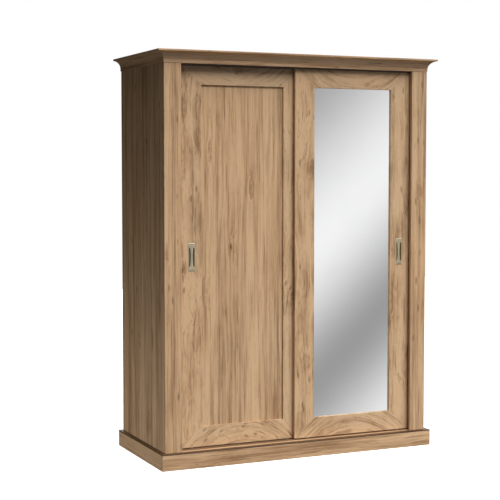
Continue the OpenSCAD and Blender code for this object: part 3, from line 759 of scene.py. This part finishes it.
def pull(name):
    """A flush pull: a rounded plate with a waisted grip standing over a closed cup."""
    low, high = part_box(name)
    middle = (low + high) / 2
    half_w, half_h = (high.x - low.x) / 2, (high.z - low.z) / 2
    face = low.y + PULL_PROUD
    cup = high.y - face - PULL_SHEET
    made = bmesh.new()
    # Per vertex: patina with painted shade, and painted highlight with wear.
    hollow = made.verts.layers.float.new("hollow")
    highlight_and_wear_layer = made.verts.layers.float.new("highlight_and_wear")
    front, back = [], []
    for row in range(PULL_ROWS + 1):
        even = 2 * row / PULL_ROWS - 1
        crowded = math.sin(ROW_TURN * even) / math.sin(ROW_TURN)
        v = half_h * (ROW_CROWDING * crowded + (1 - ROW_CROWDING) * even)
        over = max(0.0, abs(v) - (half_h - PULL_CORNER))
        reach = half_w - PULL_CORNER + math.sqrt(max(0.0, PULL_CORNER ** 2 - over ** 2))
        front.append([])
        back.append([])
        for column in range(PULL_COLUMNS + 1):
            u = reach * (2 * column / PULL_COLUMNS - 1)
            out, shade, highlight_and_wear_share = pull_front(u, v, half_w, half_h)
            if column in (0, PULL_COLUMNS) or row in (0, PULL_ROWS):
                out = 0.0
            vert = made.verts.new((middle.x + u, face - out, middle.z + v))
            vert[hollow], vert[highlight_and_wear_layer] = shade, highlight_and_wear_share
            front[row].append(vert)
            in_cup = smooth(CUP_HALF_WIDTH - abs(u), *CUP_ROUND)
            in_cup *= smooth(CUP_HALF_HEIGHT - abs(v), *CUP_END_ROUND)
            behind = face + PULL_SHEET + cup * in_cup
            back[row].append(made.verts.new((middle.x + u, behind, middle.z + v)))
    for row in range(PULL_ROWS):
        for column in range(PULL_COLUMNS):
            for sheet in (front, back):
                made.faces.new((
                    sheet[row][column], sheet[row][column + 1],
                    sheet[row + 1][column + 1], sheet[row + 1][column],
                ))
        for column in (0, PULL_COLUMNS):
            made.faces.new((
                front[row][column], front[row + 1][column],
                back[row + 1][column], back[row][column],
            ))
    for row in (0, PULL_ROWS):
        for column in range(PULL_COLUMNS):
            made.faces.new((
                front[row][column], front[row][column + 1],
                back[row][column + 1], back[row][column],
            ))
    bmesh.ops.recalc_face_normals(made, faces=made.faces)
    mesh = bpy.data.meshes.new(name + "_fine")
    made.to_mesh(mesh)
    made.free()
    mesh.shade_smooth()
    mesh.set_sharp_from_angle(angle=PULL_CREASE)
    mesh.materials.append(MATERIALS["antique_nickel"])
    piece = bpy.data.objects.new(name + "_fine", mesh)
    scene.collection.objects.link(piece)
    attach(piece, body_of(name))
    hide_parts(name)


pull("left_handle")
pull("right_handle")


# ---------------------------------------------------------------- stage and light

FLOOR_REACH = 9
FLOOR_GLOW = 0.95
FLOOR_COLOR = (0.8, 0.8, 0.8, 1)
WHITE = (1, 1, 1, 1)
CARD_LEFT, CARD_RIGHT = -3.0, 5.0
CARD_Y = -1.1
CARD_TOP = 3.0
APRON_BACK = -0.335
APRON_Z = 0.001
APRON_TONE = 0.62
# The mirror card's greys lie in slanting bands: their lean, their shift in metres, and their
# greys along the slant, which takes CARD_PACE of the scale for each metre.
CARD_LEAN = -0.9
CARD_SHIFT = 0.7
CARD_START = 0.25
CARD_PACE = 0.25
CARD_TONES = [(0.00, 0.55), (0.15, 0.91), (0.36, 0.335), (0.565, 0.915), (0.84, 0.36), (1.00, 0.60)]
AMBIENT = 0.05
AMBIENT_TINT = (1.0, 0.88, 0.76)


def stage_plane(name, corners, material):
    mesh = bpy.data.meshes.new(name)
    mesh.from_pydata(corners, [], [(0, 1, 2, 3)])
    mesh.materials.append(material)
    plane = bpy.data.objects.new(name, mesh)
    scene.collection.objects.link(plane)
    return plane


def glow(tree, color, strength=1.0):
    inputs = {"Color": color, "Strength": strength}
    return node(tree, "ShaderNodeEmission", inputs).outputs[0]


def floor_material():
    made, tree = empty_material("pale_floor")
    plain = node(tree, "ShaderNodeBsdfDiffuse", {"Color": FLOOR_COLOR}).outputs[0]
    inputs = {0: plain, 1: glow(tree, WHITE, FLOOR_GLOW)}
    both = node(tree, "ShaderNodeAddShader", inputs).outputs[0]
    node(tree, "ShaderNodeOutputMaterial", {"Surface": both})
    return made


def card_material():
    """A soft slanting gradient, for the mirror to show."""
    made, tree = empty_material("gradient_card")
    axes = node(tree, "ShaderNodeSeparateXYZ", {0: point(tree)}).outputs
    slant = maths(tree, "MULTIPLY_ADD", axes[0], CARD_LEAN, CARD_SHIFT)
    slant = maths(tree, "ADD", slant, axes[2])
    share = maths(tree, "MULTIPLY_ADD", slant, CARD_PACE, CARD_START)
    color = ramp(tree, share, [(place, (tone,) * 3) for place, tone in CARD_TONES], "EASE")
    node(tree, "ShaderNodeOutputMaterial", {"Surface": glow(tree, color)})
    return made


def apron_material():
    """The pale floor as the mirror shows it."""
    made, tree = empty_material("floor_card")
    color = (APRON_TONE, APRON_TONE, APRON_TONE, 1)
    node(tree, "ShaderNodeOutputMaterial", {"Surface": glow(tree, color)})
    return made


floor = stage_plane(
    "floor",
    [
        (-FLOOR_REACH, -FLOOR_REACH, 0), (FLOOR_REACH, -FLOOR_REACH, 0),
        (FLOOR_REACH, FLOOR_REACH, 0), (-FLOOR_REACH, FLOOR_REACH, 0),
    ],
    floor_material(),
)
floor.visible_diffuse = False
floor.visible_glossy = False
card = stage_plane(
    "gradient_card",
    [
        (CARD_LEFT, CARD_Y, 0.0), (CARD_RIGHT, CARD_Y, 0.0),
        (CARD_RIGHT, CARD_Y, CARD_TOP), (CARD_LEFT, CARD_Y, CARD_TOP),
    ],
    card_material(),
)
apron = stage_plane(
    "floor_card",
    [
        (CARD_LEFT, CARD_Y, APRON_Z), (CARD_RIGHT, CARD_Y, APRON_Z),
        (CARD_RIGHT, APRON_BACK, APRON_Z), (CARD_LEFT, APRON_BACK, APRON_Z),
    ],
    apron_material(),
)
for unseen in (card, apron):
    unseen.visible_camera = False
    unseen.visible_diffuse = False
    unseen.visible_shadow = False
    unseen.visible_transmission = False


def soft_sun(name, direction, width, strength):
    """A large far light: the same on every part, with soft shadows."""
    data = bpy.data.lights.new(name, "SUN")
    data.angle = width
    data.energy = strength
    lamp = bpy.data.objects.new(name, data)
    lamp.rotation_euler = Vector(direction).to_track_quat("Z", "Y").to_euler()
    scene.collection.objects.link(lamp)


def soft_light(name, place, aim, width, height, power):
    """A panel of light near the floor, which the camera doesn't see."""
    data = bpy.data.lights.new(name, "AREA")
    data.shape = "RECTANGLE"
    data.size, data.size_y = width, height
    data.energy = power
    lamp = bpy.data.objects.new(name, data)
    lamp.location = place
    lamp.rotation_euler = (Vector(aim) - Vector(place)).to_track_quat("-Z", "Y").to_euler()
    lamp.visible_camera = False
    scene.collection.objects.link(lamp)


soft_sun("key", (0.34, -1.0, 1.30), 0.88, 3.58)
soft_sun("back_fill", (0.55, 1.0, 0.45), 0.9, 1.15)
soft_light("floor_bounce", (1.4, -1.9, 0.03), (0.5, 0.0, 1.0), 2.6, 1.0, 9.5)
soft_light("low_left", (-1.9, -0.1, 0.07), (-0.75, 0.0, 0.12), 1.8, 0.16, 7.0)

# A white background, and a dim warm light from all round.
world = bpy.data.worlds.new("studio")
scene.world = world
world.use_nodes = True
tree = world.node_tree
tree.nodes.clear()
background = node(tree, "ShaderNodeLightPath").outputs["Is Camera Ray"]
strength = maths(tree, "MULTIPLY_ADD", background, 1 - AMBIENT, AMBIENT)
tint = mix(tree, background, AMBIENT_TINT, (1, 1, 1))
sky = node(tree, "ShaderNodeBackground", {"Color": tint, "Strength": strength})
node(tree, "ShaderNodeOutputWorld", {"Surface": sky.outputs[0]})
